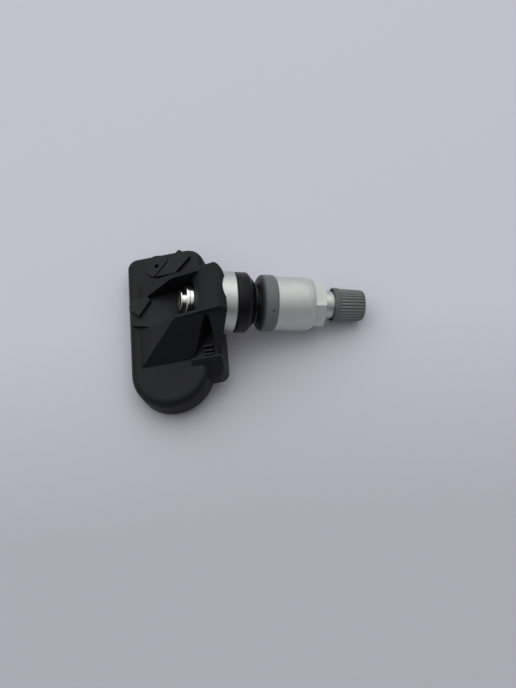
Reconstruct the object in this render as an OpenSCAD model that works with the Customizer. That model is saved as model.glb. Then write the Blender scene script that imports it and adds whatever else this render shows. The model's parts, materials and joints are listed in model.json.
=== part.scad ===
// Clamp-in tyre pressure sensor: a moulded electronics case on an aluminium valve.
// It lies as it comes to rest, on the left lower edge of its case and on the rim of its dust cap.
// Origin: centre of the wheel rim seat on the valve axis. +X runs out along the valve, +Z is up.

/* [Case] */
// Width of the case, along the valve
case_w = 22.5; // [22:0.1:26]
// From the valve's centre plane to the round end that holds the battery
case_near = 27.7; // [27.2:0.1:32]
// From the valve's centre plane to the square end that holds the sensor
case_far = 19.8; // [19.5:0.1:24]
// Height of the case over its underside
case_h = 6.7; // [6.6:0.1:7.4]
// Radius round the upper edge of the case
edge_round = 2.2; // [1:0.1:2.8]
// Radius of the far corner away from the valve
corner_left = 3; // [2.9:0.1:5]
// Radius of the far corner beside the valve
corner_right = 5; // [3:0.1:6]
// Side wall of the case
case_wall = 1.1; // [0.8:0.05:1.2]
// Roof of the case
case_roof = 1.3; // [1:0.05:1.35]
// Cover that closes the underside
cover_t = 1.2; // [0.8:0.05:1.3]

/* [Valve holder] */
// Height of the holder's crest over the underside, at the valve
crest_h = 18.2; // [17.8:0.1:19]
// Rise of the crest towards the valve, in degrees
crest_rise = 9.6; // [7:0.1:11]
// Distance from the case's left side to the foot of the front slope
slope_foot = 3.2; // [2.6:0.1:5]
// Distance from the case's left side to the knee of the front slope
slope_knee = 15.8; // [13:0.1:17]
// Width of the crest across the valve
crest_w = 13.6; // [13:0.1:15]
// Reach of the near flank from the crest, at the case's roof
near_flare = 8.8; // [8:0.1:10]
// Reach of the far flank from the crest, at the case's roof
far_flare = 3.8; // [2:0.1:6]
// Width of the screwdriver channel between the cheeks
channel_w = 11; // [9.5:0.1:11.4]
// Height of the channel's floor over the roof
pad_h = 1.2; // [0.6:0.1:1.4]
// Reach of the valve-side lug past the case's side
lug_out = 3.9; // [3.4:0.1:5]

/* [Valve] */
// Angle of the valve below the case's underside plane
valve_angle = 25.6; // [24:0.1:28]
// Distance from the case's left side to the rim seat, along the case
seat_x = 35.1; // [35:0.1:37]
// Height of the rim seat over the case's underside
seat_z = 3.8; // [3.4:0.1:5]
// Diameter of the valve's foot
foot_d = 17; // [15:0.1:17.4]
// Length of the foot's rim, from the grommet towards the case
foot_len = 3.9; // [3:0.1:4.4]
// Diameter of the stem under the nut
stem_d = 8.6; // [8.4:0.1:9.2]
// Diameter of the stem's tip, over its thread
tip_d = 7.7; // [7.5:0.05:8]
// Radius of the curved seat between foot and case
saddle_r = 20.7; // [19.5:0.1:22]
// Furthest that the valve tilts to either side on its seat, in degrees
swivel_max = 2; // [1.5:0.5:2.5]

/* [Rim seal and nut] */
// Diameter of the grommet's flange
flange_d = 16.8; // [15:0.1:17]
// Length of the grommet from the foot to the rim seat
flange_len = 5.3; // [4.5:0.1:6.5]
// Diameter of the grommet's spigot, which enters the rim hole
spigot_d = 11.3; // [11:0.1:11.5]
// Length of the spigot past the rim seat
spigot_len = 1.3; // [0.8:0.1:1.4]
// Gap from the rim seat to the nut's washer
washer_gap = 1.55; // [1.5:0.05:2.2]
// Diameter of the nut's washer
washer_d = 15.7; // [14:0.1:17]
// Thickness of the nut's washer
washer_t = 4.4; // [3:0.1:5]
// Diameter of the nut's sleeve
nut_d = 15; // [14:0.1:16]
// Length of the nut's straight sleeve
sleeve_len = 8; // [6:0.1:9]
// Length of the nut's rounded shoulder
shoulder_len = 2.8; // [2:0.1:3.2]
// Length of the nut's hexagon past the shoulder
hex_len = 3.4; // [3:0.1:3.8]
// Hexagon across its flats
hex_af = 12; // [11.5:0.1:12.5]

/* [Dust cap] */
// Diameter of the cap's skirt
cap_d = 9.7; // [9.5:0.05:10.5]
// Length of the cap
cap_len = 10.4; // [10.2:0.1:13]
// Diameter of the ribbed grip at its outer end
cap_end_d = 8.7; // [8.4:0.1:9.4]
// Radius round the cap's outer end
cap_round = 1; // [0.6:0.1:1.4]
// Number of grip ribs
cap_ribs = 30; // [16:2:36]

/* [Electronics] */
// Clearance between the button cell and the case's wall
cell_room = 0.15; // [0.1:0.05:0.6]
// Thickness of the button cell
cell_t = 3.2; // [2.5:0.1:3.4]
// Thickness of the circuit board
board_t = 0.8; // [0.6:0.1:1]

/* [Hidden] */

// Clearances
slack = 0.05;
running_gap = 0.1;
saddle_gap = 0.12;
eps = 0.02;
$fn = 64;

// Plan of the case
near_r = case_w / 2;
near_c = [near_r, near_r - case_near];
in_r = near_r - case_wall;
in_far = case_far - case_wall;
roof_z = case_h - case_roof;

// Valve holder
pad_z = case_h + pad_h;
nose_x = 29.4;
nose_drop = 2.5;
nose_run = 1.4;
knee_z = crest_h - (nose_x - slope_knee) * tan(crest_rise);
crest_half = crest_w / 2;
cheek_foot = -3.4;
far_inner = 5.1;
lug_near = 20.6;
lug_side = foot_d / 2 + 0.35;
lug_corner = 2.4;
pocket_z = case_h + 0.2;
pocket_right = case_w + lug_out - 1;

// Thicker stretch of the side wall, behind the foot
seat_wall = 3.4;
seat_wall_half = lug_side + 0.8;

// Curved seat: its axis lies across the valve, this far inboard of the rim seat
foot_face = flange_len + foot_len;
pivot_s = -foot_face - saddle_r;
seat_in_r = 13.9;
pivot = [seat_x + pivot_s * cos(valve_angle), seat_z - pivot_s * sin(valve_angle)];
foot_room_r = foot_d / 2 + saddle_r * tan(swivel_max) + 0.25;

// Screw through the seat
screw_d = 4;
screw_r = screw_d / 2;
head_d = 8.2;
head_len = 1;
stub_d = 5;
stub_len = 1.4;
socket_r = 1.8;
saddle_washer_d = 8;
saddle_washer_t = 1.6;
cup_room = 5.2;
screw_bore_r = 0.8;
screw_bite = 5;
slot_half = 4.8 / 2;
head_seat = pivot_s + seat_in_r - saddle_gap - saddle_washer_t;

// Stations along the valve, from the rim seat outwards
washer_s = washer_gap;
nut_s = washer_s + washer_t + slack;
sleeve_end = nut_s + sleeve_len;
shoulder_end = sleeve_end + shoulder_len;
hex_end = shoulder_end + hex_len;
cap_gap = 1.7;
cap_s = hex_end + cap_gap;
cap_end = cap_s + cap_len;
cap_roof = 0.75;
cap_skirt = 1.1;
cap_step = 0.2;
cap_groove = 0.32;
seal_t = 0.6;
tip_end = cap_end - cap_roof - seal_t - running_gap;
tip_start = hex_end - 4;

// Valve core, in the stem's tip
core_plug_r = 2.6;
core_plug_len = 5.2;
core_barrel_r = 2.1;
core_barrel_len = 7.6;
core_top = tip_end - 1.1;
core_mid = core_top - core_plug_len;
core_foot = core_mid - core_barrel_len;
core_bore_r = 1.5;
core_floor = 0.6;
pin_r = 0.45;
pin_gap = 0.08;
pin_travel = 0.9;
collar_r = 1.35;
collar_t = 0.5;
collar_s = core_mid - 0.4;
cup_r = 1.65;
cup_t = 1.5;
air_bore_r = 1.25;
chamber_r = core_barrel_r + 0.35;
chamber_end = core_foot - cup_t - pin_travel - 1.2;
spring_turns = 6;
spring_wire = 0.16;

// Where the pieces inside the case lie
cell_d = 2 * (in_r - cell_room);
cell_z = cover_t + 0.2;
tab_t = 0.2;
board_z = cover_t + 1;
board_top = board_z + board_t;
board_near = near_c[1] + cell_d / 2 + 0.9;
port = [0.413 * case_w, case_far - 4.5];
port_r = 0.6;
part_room = roof_z - board_top;
chip_h = 0.75 * part_room;
tall_part = 0.92 * part_room;
flat_part = 0.4 * part_room;
coil_w = 0.16 * case_w;
coil_x = case_w - seat_wall - 0.9 - coil_w;

// Angle at which the case lies when its lower left edge and the cap's rim touch the ground
rim_s = cap_end - cap_round;
rim_r = cap_end_d / 2 - cap_round;
rim_x = seat_x + rim_s * cos(valve_angle) - rim_r * sin(valve_angle);
rim_z = seat_z - rim_s * sin(valve_angle) - rim_r * cos(valve_angle);
rest_tilt = atan2(-rim_z, rim_x) + asin(cap_round / norm([rim_x, rim_z]));

// Places a piece that is drawn in the case's own frame: x from its left side, z from its underside
module in_case() {
    rotate([0, -rest_tilt, 0]) translate([-seat_x, 0, -seat_z]) children();
}

// Places a piece that is drawn along the valve: z runs outwards from the rim seat
module on_valve() {
    rotate([0, 90 + valve_angle - rest_tilt, 0]) children();
}

// Extrudes a profile drawn in x and z, from one y to another
module across(from_y, to_y) {
    translate([0, to_y, 0]) rotate([90, 0, 0]) linear_extrude(to_y - from_y) children();
}

// Cylinder across the valve, about the curved seat's axis, in the case's frame
module seat_cylinder(r, half) {
    translate([pivot[0], 0, pivot[1]]) rotate([90, 0, 0])
        cylinder(h = 2 * half, r = r, center = true, $fn = 128);
}

// Round post whose upper edge is rounded over
module domed_post(r, h, edge) {
    steps = 5;
    arc = [for (i = [0:steps]) [r - edge + edge * cos(i * 90 / steps), h - edge + edge * sin(i * 90 / steps)]];
    rotate_extrude($fn = 64) polygon(concat([[0, 0], [r, 0]], arc, [[0, h]]));
}

// Outside of the case: a round end, two rounded corners and a rounded upper edge
module case_form() {
    hull() {
        translate([near_c[0], near_c[1], 0]) domed_post(near_r, case_h, edge_round);
        translate([corner_left, case_far - corner_left, 0]) domed_post(corner_left, case_h, edge_round);
        translate([case_w - corner_right, case_far - corner_right, 0])
            domed_post(corner_right, case_h, edge_round);
    }
}

// Plan of the hollow in the case, taken in by a gap
module hollow_plan(gap) {
    r = in_r - gap;
    translate(near_c) circle(r);
    difference() {
        translate([near_r - r, near_c[1]]) square([2 * r, in_far - gap - near_c[1]]);
        translate([near_r + r, in_far - gap]) rotate(45) square(2.6, center = true);
        translate([near_r - r, in_far - gap]) rotate(45) square(1.4, center = true);
        translate([case_w - seat_wall - gap, -seat_wall_half - gap])
            square([case_w, 2 * (seat_wall_half + gap)]);
    }
}

// Valve holder: side profile and cross section, each extruded, share one solid
module holder_form() {
    intersection() {
        across(-case_near, case_far) polygon([
            [slope_foot - 2, case_h - 2],
            [slope_foot - 0.1, case_h - 0.2],
            [slope_foot + 0.4, case_h + 0.15],
            [slope_knee - 0.6, knee_z - 0.6],
            [slope_knee + 0.5, knee_z],
            [nose_x - 0.5, crest_h - 0.1],
            [nose_x + 0.2, crest_h - 0.5],
            [nose_x + nose_run, crest_h - nose_drop],
            [case_w + lug_out, pad_z],
            [case_w + lug_out, 0.4],
            [slope_knee, 0.4],
        ]);
        rotate([90, 0, 90]) linear_extrude(2 * case_w) holder_section();
    }
}

// Cross section of the holder, seen along the case's width
module holder_section() {
    near_foot = -crest_half - near_flare;
    far_foot = crest_half + far_flare;
    polygon([
        [near_foot, 0.4],
        [near_foot, case_h - 0.1],
        [-crest_half, knee_z],
        [-crest_half, crest_h + 1],
        [crest_half, crest_h + 1],
        [crest_half, knee_z],
        [far_foot, case_h - 0.1],
        [far_foot, 0.4],
    ]);
}

// Channel that lets a screwdriver reach the screw
module channel() {
    half = channel_w / 2;
    near_half = half + 0.45;
    translate([0, 0, pad_z]) linear_extrude(crest_h) polygon([
        [-2, cheek_foot],
        [1.4, cheek_foot],
        [12.8, -near_half],
        [case_w * 2, -near_half],
        [case_w * 2, half],
        [15, half],
        [6, far_inner],
        [-2, far_inner],
    ]);
}

// Groove between the channel's floor and the near cheek
module floor_groove() {
    translate([0, 0, case_h + 0.05]) linear_extrude(crest_h) polygon([
        [0.5, cheek_foot + 0.2],
        [1.4, cheek_foot],
        [12.8, -channel_w / 2 - 0.45],
        [12.8, -channel_w / 2 - 0.1],
        [1.4, cheek_foot + 1],
        [0.5, cheek_foot + 1.1],
    ]);
}

// Pocket in the near flank, beside the saddle block
module side_pocket() {
    inner = -crest_half - 0.2;
    translate([0, 0, pocket_z]) linear_extrude(crest_h) polygon([
        [18.3, -15.6],
        [23.6, inner - 0.9],
        [24.5, inner],
        [pocket_right, inner],
        [pocket_right, -15.6],
    ]);
}

// Lug beside the foot: it ties the saddle block to the case's wall and slopes down to its near end
module side_lug() {
    outer = case_w + lug_out;
    intersection() {
        union() {
            translate([17.8, -17.9, 0]) cube([outer - 17.8, 17.9 - lug_side, pad_z]);
            translate([case_w - 2, -lug_near, 0]) cube([outer - lug_corner - case_w + 2, 4, pad_z]);
            translate([outer - lug_corner, lug_corner - lug_near, 0]) cylinder(h = pad_z, r = lug_corner);
        }
        translate([17.8, 0, 0]) rotate([90, 0, 90]) linear_extrude(outer - 17.8) polygon([
            [-lug_near, 0],
            [-lug_near, 3.9],
            [-lug_near + 0.5, 4.7],
            [-16.2, pad_z - 0.1],
            [-15.7, pad_z - 0.1],
            [-15.5, pocket_z],
            [-lug_side, pocket_z],
            [-lug_side, 0],
        ]);
    }
}

// Slot that lets the screw tilt in the saddle block
module screw_slot() {
    reach = foot_face + saddle_r;
    a = swivel_max;
    half = screw_r / cos(a) + running_gap + slack;
    inner = seat_in_r - 1.5;
    outer = saddle_r + 1;
    translate([pivot[0], 0, pivot[1]]) rotate([0, valve_angle, 0])
        across(-slot_half, slot_half) polygon([
            [inner, -half - inner * tan(a)],
            [outer, -half - outer * tan(a)],
            [outer, half + outer * tan(a)],
            [inner, half + inner * tan(a)],
        ]);
}

// Cup that the curved washer tilts in, inside the saddle block
module washer_cup() {
    intersection() {
        seat_cylinder(seat_in_r, channel_w / 2);
        translate([pivot[0], 0, pivot[1]]) rotate([0, 90 + valve_angle, 0])
            translate([0, 0, seat_in_r - 6]) cylinder(h = 8, r = cup_room);
    }
}

// Raised forms on the roof
module roof_details() {
    low = case_h - 0.5;
    // Boss round the pressure port
    translate([port[0], port[1], low]) linear_extrude(1.1) difference() {
        circle(3.4, $fn = 48);
        rotate(46) translate([-6, -6]) square([12, 4.4]);
    }
    // Diagonal strip beside it
    translate([port[0], port[1], low]) linear_extrude(1.5) polygon([
        [-0.4, -3.6], [6.3, 3.3], [6.9, 3.7], [9.5, 1.9], [9.9, 0.9], [5.5, -3.4],
    ]);
    // Stop block at the channel's mouth
    translate([0, 0, low]) linear_extrude(2.8) polygon([
        [1.3, 2], [4, -0.5], [7.5, 4], [6.5, far_inner + 0.3], [2.8, 4.7], [1.3, 3.3],
    ]);
}

module housing() {
    color([0.13, 0.13, 0.14]) in_case() difference() {
        union() {
            case_form();
            difference() {
                holder_form();
                channel();
                side_pocket();
            }
            // Channel floor
            translate([1.4, cheek_foot, case_h - 1]) cube([slope_knee, far_inner - cheek_foot, pad_h + 1]);
            saddle_block();
            side_lug();
            pocket_ribs();
            roof_details();
        }
        floor_groove();
        far_corner();
        foot_room();
        washer_cup();
        screw_slot();
        case_hollow();
        translate([port[0], port[1], roof_z - 1]) cylinder(h = 6, r = port_r, $fn = 24);
    }
}

// Point in the case's frame: along the valve and up from it, from the curved seats' axis
function from_pivot(along, up) = [
    pivot[0] + along * cos(valve_angle) + up * sin(valve_angle),
    pivot[1] - along * sin(valve_angle) + up * cos(valve_angle),
];

// Solid block behind the channel that carries the curved seats
module saddle_block() {
    across(-crest_half, crest_half) polygon([
        from_pivot(seat_in_r - 0.9, -5),
        from_pivot(seat_in_r - 0.9, 4.3),
        [nose_x - 5.4, crest_h - 1.1],
        [nose_x - 5, crest_h - 0.9],
        [nose_x - 0.5, crest_h - 0.1],
        [nose_x + 0.2, crest_h - 0.5],
        [nose_x + nose_run, crest_h - nose_drop],
        [case_w + lug_out, pad_z],
        [case_w + lug_out, 0.4],
        [slope_knee + 1, 0.4],
        [slope_knee + 1, case_h - 1],
    ]);
}

// Cut that rounds off the holder's far corner over the valve
module far_corner() {
    translate([0, 0, case_h]) linear_extrude(crest_h) polygon([
        [nose_x - 1.8, crest_half + 0.3],
        [nose_x - 0.9, crest_half + 0.02],
        [nose_x + 0.1, crest_half - 0.6],
        [nose_x + 0.8, crest_half - 1.6],
        [nose_x + 1.3, crest_half - 3.4],
        [nose_x + 4, crest_half - 3.4],
        [nose_x + 4, crest_half + 8],
        [nose_x - 1.8, crest_half + 8],
    ]);
}

// Room for the valve's foot: it lies against the curved seat and tilts there
module foot_room() {
    difference() {
        translate([pivot[0], 0, pivot[1]]) rotate([0, 90 + valve_angle, 0])
            translate([0, 0, saddle_r - 8]) cylinder(h = 24, r = foot_room_r, $fn = 96);
        seat_cylinder(saddle_r, case_w);
    }
}

// Steps at the near end of the side pocket
module pocket_ribs() {
    for (step = [[-13.2, 1.6], [-14.4, 1.2], [-15.3, 0.8]])
        translate([21.8, step[0], pocket_z - 1]) cube([2.4, 0.5, 1 + step[1]]);
}

// Hollow of the case, less the posts and the ring that hold the board and the cell
module case_hollow() {
    difference() {
        translate([0, 0, -1]) linear_extrude(roof_z + 1) hollow_plan(0);
        translate([near_c[0], near_c[1], cell_z + cell_t + tab_t + slack]) difference() {
            cylinder(h = case_h, r = 7.5);
            translate([0, 0, -1]) cylinder(h = case_h + 2, r = 6.5);
        }
        for (p = board_posts()) translate([p[0], p[1], board_top]) cylinder(h = case_h, r = 0.9, $fn = 24);
    }
}

function board_posts() = [
    [3, board_near + 1.6], [case_w - 4.7, board_near + 1.6],
    [3, in_far - 2.2], [case_w - 4.4, in_far - 2.2],
];

module base_cover() {
    color([0.16, 0.16, 0.17]) in_case() {
        linear_extrude(cover_t) hollow_plan(slack);
        for (p = board_posts()) translate([p[0], p[1], cover_t - eps])
            cylinder(h = board_z - cover_t + eps, r = 1.1, $fn = 24);
    }
}

module circuit_board() {
    color([0.06, 0.3, 0.16]) in_case() translate([0, 0, board_z]) linear_extrude(board_t)
        difference() {
            hollow_plan(0.3);
            translate([-1, -case_near - 1]) square([case_w + 2, case_near + 1 + board_near]);
        }
}

module button_cell() {
    r = cell_d / 2;
    color([0.72, 0.73, 0.74]) in_case() translate([near_c[0], near_c[1], cell_z])
        rotate_extrude($fn = 96) polygon([
            [0, 0], [r - 1.3, 0], [r - 1, 0.35], [r - 0.25, 0.45], [r, 0.75],
            [r, cell_t - 0.3], [r - 0.3, cell_t], [0, cell_t],
        ]);
}

// Welded strap from a face of the cell to the board
module cell_tab(x, z, foot_z) {
    reach = board_near - near_c[1] + 2.2;
    translate([x - 1.5, near_c[1] + 2, z]) cube([3, reach - 2, tab_t]);
    low = min(z, foot_z);
    translate([x - 1.5, near_c[1] + reach - tab_t, low]) cube([3, tab_t, max(z, foot_z) - low + tab_t]);
}

module cell_tab_positive() {
    color([0.8, 0.78, 0.7]) in_case() cell_tab(near_c[0] - 3.5, cell_z + cell_t, board_top);
}

module cell_tab_negative() {
    color([0.8, 0.78, 0.7]) in_case() cell_tab(near_c[0] + 3.5, cell_z - tab_t, board_z - tab_t);
}

module pressure_sensor() {
    color([0.09, 0.09, 0.1]) in_case() translate([port[0], port[1], board_top]) difference() {
        translate([-2.2, -2.2, 0]) cube([4.4, 4.4, chip_h]);
        translate([0, 0, 0.67 * chip_h]) cylinder(h = 1, r = 0.7, $fn = 24);
    }
}

module port_gasket() {
    color([0.25, 0.25, 0.26]) in_case() translate([port[0], port[1], board_top + chip_h]) difference() {
        cylinder(h = roof_z - board_top - chip_h, r = 1.8, $fn = 32);
        translate([0, 0, -1]) cylinder(h = 4, r = 0.7, $fn = 32);
    }
}

module radio_chip() {
    side = 0.22 * case_w;
    color([0.08, 0.08, 0.09]) in_case() translate([0.34 * case_w, 2.4, board_top])
        cube([side, side, flat_part]);
}

module crystal() {
    color([0.75, 0.76, 0.77]) in_case() translate([0.2 * case_w, 3.2, board_top])
        cube([0.11 * case_w, 3.2, flat_part]);
}

module trigger_coil_core() {
    flange = 1.4;
    web = coil_w / 2;
    color([0.2, 0.2, 0.21]) in_case() translate([coil_x, 0.6, board_top]) {
        cube([coil_w, flange, tall_part]);
        translate([0, 7, 0]) cube([coil_w, flange, tall_part]);
        translate([web / 2, 1, tall_part / 4]) cube([web, 6.4, tall_part / 2]);
    }
}

module trigger_coil_winding() {
    gap = 0.05;
    web = coil_w / 2 + 2 * gap;
    color([0.7, 0.35, 0.15]) in_case() translate([coil_x, 2.05, board_top]) difference() {
        translate([0.1 * coil_w, 0, 0.05 * tall_part]) cube([0.8 * coil_w, 5.5, 0.9 * tall_part]);
        translate([(coil_w - web) / 2, -1, tall_part / 4 - gap]) cube([web, 8, tall_part / 2 + 2 * gap]);
    }
}

// Strip that runs round the far end of the board on two feet
module antenna_loop() {
    top = tall_part - 0.4;
    right = case_w - 7;
    far = in_far - 1;
    color([0.8, 0.78, 0.7]) in_case() translate([0, 0, board_top]) {
        translate([right, far - 0.4, 0]) cube([0.4, 0.8, top]);
        translate([5.2, far - 5.4, 0]) cube([0.4, 0.8, top]);
        translate([5.2, far - 5.4, top]) cube([0.4, 5.8, 0.4]);
        translate([5.2, far, top]) cube([right - 4.8, 0.4, 0.4]);
        translate([right, far - 0.4, top]) cube([0.4, 0.8, 0.4]);
    }
}

module capacitors() {
    color([0.75, 0.6, 0.4]) in_case() translate([0, 0, board_top]) {
        for (i = [0:3]) translate([5.4 + 2 * i, 9.2, 0]) cube([0.8, 1.6, 0.3 * part_room]);
        for (i = [0:2]) translate([6.4 + 2.2 * i, -0.6, 0]) cube([1.6, 0.8, 0.3 * part_room]);
    }
}

module valve_stem() {
    foot_r = foot_d / 2;
    color([0.74, 0.75, 0.72]) on_valve() difference() {
        rotate_extrude($fn = 96) polygon([
            [0, -foot_face - 2.6],
            [foot_r - 0.3, -foot_face - 2.6],
            [foot_r, -foot_face - 2.3],
            [foot_r, -flange_len - 0.4],
            [foot_r - 0.4, -flange_len],
            [stem_d / 2, -flange_len],
            [stem_d / 2, tip_start - 0.5],
            [tip_d / 2, tip_start],
            [tip_d / 2, tip_end - 0.6],
            [tip_d / 2 - 0.6, tip_end],
            [0, tip_end],
        ]);
        // Curved seat on the saddle block
        translate([0, 0, pivot_s]) rotate([90, 0, 0])
            cylinder(h = 2 * foot_d, r = saddle_r + saddle_gap, center = true, $fn = 128);
        // Thread for the fixing screw
        translate([0, 0, -foot_face - 5]) cylinder(h = 5 + screw_bite, r = screw_r);
        // Air passage and seats for the valve core
        translate([0, 0, -foot_face]) cylinder(h = chamber_end + foot_face + 1, r = air_bore_r, $fn = 32);
        translate([0, 0, chamber_end]) cylinder(h = core_mid - chamber_end, r = chamber_r, $fn = 48);
        translate([0, 0, core_mid]) cylinder(h = tip_end, r = core_plug_r + slack, $fn = 48);
    }
}

// Six-lobed socket
module star_socket(r, depth) {
    linear_extrude(depth) difference() {
        circle(r, $fn = 48);
        for (i = [0:5]) rotate(30 + 60 * i) translate([r * 1.08, 0]) circle(r * 0.28, $fn = 24);
    }
}

module fixing_screw() {
    face = head_seat - head_len;
    color([0.8, 0.8, 0.8]) on_valve() difference() {
        union() {
            translate([0, 0, face - stub_len]) rotate_extrude() polygon([
                [0, 0], [stub_d / 2 - 0.3, 0], [stub_d / 2, 0.3], [stub_d / 2, stub_len],
                [head_d / 2 - 0.2, stub_len], [head_d / 2, stub_len + 0.2],
                [head_d / 2, stub_len + head_len - 0.15], [head_d / 2 - 0.15, stub_len + head_len],
                [0, stub_len + head_len],
            ]);
            translate([0, 0, head_seat - eps]) cylinder(h = -foot_face + screw_bite - 0.3 - head_seat, r = screw_r);
        }
        translate([0, 0, face - stub_len - 1]) star_socket(socket_r, 3);
        translate([0, 0, face - stub_len]) cylinder(h = 40, r = screw_bore_r, $fn = 24);
    }
}

module saddle_washer() {
    color([0.75, 0.75, 0.76]) on_valve() difference() {
        intersection() {
            translate([0, 0, head_seat]) cylinder(h = 3, r = saddle_washer_d / 2);
            translate([0, 0, pivot_s]) rotate([90, 0, 0])
                cylinder(h = 20, r = seat_in_r - saddle_gap, center = true, $fn = 128);
        }
        translate([0, 0, head_seat - 1]) cylinder(h = 5, r = screw_r + slack);
    }
}

module rim_grommet() {
    r = flange_d / 2;
    neck = spigot_d / 2;
    color([0.07, 0.07, 0.07]) on_valve() rotate_extrude($fn = 96) polygon([
        [stem_d / 2, -flange_len],
        [r - 0.4, -flange_len],
        [r, -flange_len + 0.4],
        [r, -2.2],
        [r - 0.15, -1.8],
        [neck + 0.75, -0.15],
        [neck + 0.6, 0],
        [neck, 0],
        [neck, spigot_len - 0.3],
        [neck - 0.3, spigot_len],
        [stem_d / 2, spigot_len],
    ]);
}

module nut_washer() {
    r = washer_d / 2;
    color([0.41, 0.42, 0.42]) on_valve() translate([0, 0, washer_s]) difference() {
        rotate_extrude($fn = 96) polygon([
            [stem_d / 2 + running_gap, 0],
            [r - 1.1, 0],
            [r - 0.3, 0.5],
            [r, 1],
            [r, washer_t - 0.3],
            [r - 0.3, washer_t],
            [stem_d / 2 + running_gap, washer_t],
        ]);
        // Dimple in the edge
        rotate(-75) translate([r - 0.4, 0, washer_t - 1.2]) rotate([0, 90, 0]) cylinder(h = 1, r = 0.35, $fn = 24);
    }
}

module collar_nut() {
    r = nut_d / 2;
    arc_r = r - hex_af / 2;
    color([0.75, 0.76, 0.74]) on_valve() difference() {
        union() {
            rotate_extrude($fn = 96) polygon(concat(
                [[0, nut_s], [r - 0.25, nut_s], [r, nut_s + 0.25]],
                [for (i = [0:6]) let (a = i * 90 / 6)
                    [r - arc_r + arc_r * cos(a), sleeve_end + shoulder_len * sin(a)]],
                [[0, shoulder_end]]
            ));
            intersection() {
                rotate(30) translate([0, 0, sleeve_end])
                    cylinder(h = hex_end - sleeve_end, d = hex_af / cos(30), $fn = 6);
                rotate_extrude($fn = 96) polygon([
                    [0, sleeve_end], [hex_af, sleeve_end], [hex_af, shoulder_end],
                    [hex_af / cos(30) / 2 + 0.1, hex_end - 0.45], [hex_af / 2, hex_end], [0, hex_end],
                ]);
            }
        }
        translate([0, 0, nut_s - 1]) cylinder(h = hex_end, r = stem_d / 2 + running_gap);
        translate([0, 0, hex_end - 0.6]) cylinder(h = 1, r1 = stem_d / 2 + running_gap, r2 = stem_d / 2 + 1);
    }
}

module core_body() {
    color([0.75, 0.6, 0.3]) on_valve() difference() {
        rotate_extrude($fn = 48) polygon([
            [0, core_foot],
            [core_barrel_r - 0.3, core_foot],
            [core_barrel_r, core_foot + 0.3],
            [core_barrel_r, core_mid],
            [core_plug_r, core_mid + 0.6],
            [core_plug_r, core_top - 1.2],
            [core_plug_r - 0.7, core_top],
            [0, core_top],
        ]);
        translate([0, 0, core_foot + core_floor]) cylinder(h = core_mid - core_foot, r = core_bore_r, $fn = 32);
        translate([0, 0, core_foot - 1]) cylinder(h = 30, r = pin_r + pin_gap, $fn = 32);
        // Slots for the core tool and the air
        translate([-core_plug_r, -0.5, core_top - 2.2]) cube([2 * core_plug_r, 1, 4]);
    }
}

module core_seal() {
    color([0.85, 0.85, 0.82]) on_valve() translate([0, 0, core_mid - 3]) difference() {
        cylinder(h = 2.2, r = chamber_r - eps, $fn = 48);
        translate([0, 0, -1]) cylinder(h = 5, r = core_barrel_r, $fn = 48);
    }
}

module core_pin() {
    color([0.78, 0.65, 0.35]) on_valve() rotate_extrude($fn = 32) polygon([
        [0, core_foot - cup_t - 1.4],
        [pin_r, core_foot - cup_t - 1.2],
        [pin_r, collar_s - collar_t],
        [collar_r, collar_s - collar_t],
        [collar_r, collar_s],
        [pin_r, collar_s],
        [pin_r, core_top - 0.2],
        [pin_r - 0.15, core_top],
        [0, core_top],
    ]);
}

module core_cup() {
    color([0.7, 0.55, 0.28]) on_valve() rotate_extrude($fn = 32) polygon([
        [pin_r, core_foot - cup_t],
        [cup_r - 0.4, core_foot - cup_t],
        [cup_r, core_foot - cup_t + 0.5],
        [cup_r, core_foot - eps],
        [pin_r, core_foot - eps],
    ]);
}

// Closed helical spring, as one swept tube
module coil(turns, mean_r, wire_r, length) {
    sides = 6;
    per_turn = 12;
    n = turns * per_turn;
    points = [for (i = [0:n], k = [0:sides - 1])
        let (a = 360 * i / per_turn, b = 360 * k / sides)
        [(mean_r + wire_r * cos(b)) * cos(a), (mean_r + wire_r * cos(b)) * sin(a),
            length * i / n + wire_r * sin(b)]];
    walls = [for (i = [0:n - 1], k = [0:sides - 1])
        let (m = (k + 1) % sides)
        [i * sides + k, (i + 1) * sides + k, (i + 1) * sides + m, i * sides + m]];
    ends = [[for (k = [0:sides - 1]) k], [for (k = [sides - 1:-1:0]) n * sides + k]];
    polyhedron(points, concat(walls, ends));
}

module core_spring() {
    low = core_foot + core_floor + spring_wire + eps;
    high = collar_s - collar_t - spring_wire - eps;
    color([0.7, 0.7, 0.72]) on_valve() translate([0, 0, low])
        coil(spring_turns, 1.05, spring_wire, high - low);
}

module cap_seal() {
    color([0.1, 0.1, 0.1]) on_valve() translate([0, 0, tip_end + running_gap]) difference() {
        cylinder(h = seal_t, r = tip_d / 2 - 0.1, $fn = 48);
        translate([0, 0, -1]) cylinder(h = 3, r = 1.7, $fn = 32);
    }
}

module dust_cap() {
    bore_r = tip_d / 2 + running_gap;
    color([0.39, 0.4, 0.39]) on_valve() difference() {
        cap_profile();
        for (i = [0:cap_ribs - 1]) rotate(360 * i / cap_ribs) rib_groove();
        translate([0, 0, cap_s - 1]) cylinder(h = cap_len + 1 - cap_roof, r = bore_r);
    }
}

// Turned outline of the cap: a skirt, a tapered grip and a rounded end
module cap_profile() {
    r = cap_d / 2;
    end_r = cap_end_d / 2;
    rotate_extrude($fn = 96) polygon(concat(
        [[0, cap_s], [r - 0.15, cap_s], [r, cap_s + 0.15], [r, cap_s + cap_skirt - 0.2],
            [r - cap_step, cap_s + cap_skirt]],
        [for (i = [0:6]) let (a = i * 90 / 6)
            [end_r - cap_round + cap_round * cos(a), cap_end - cap_round + cap_round * sin(a)]],
        [[0, cap_end]]
    ));
}

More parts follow.
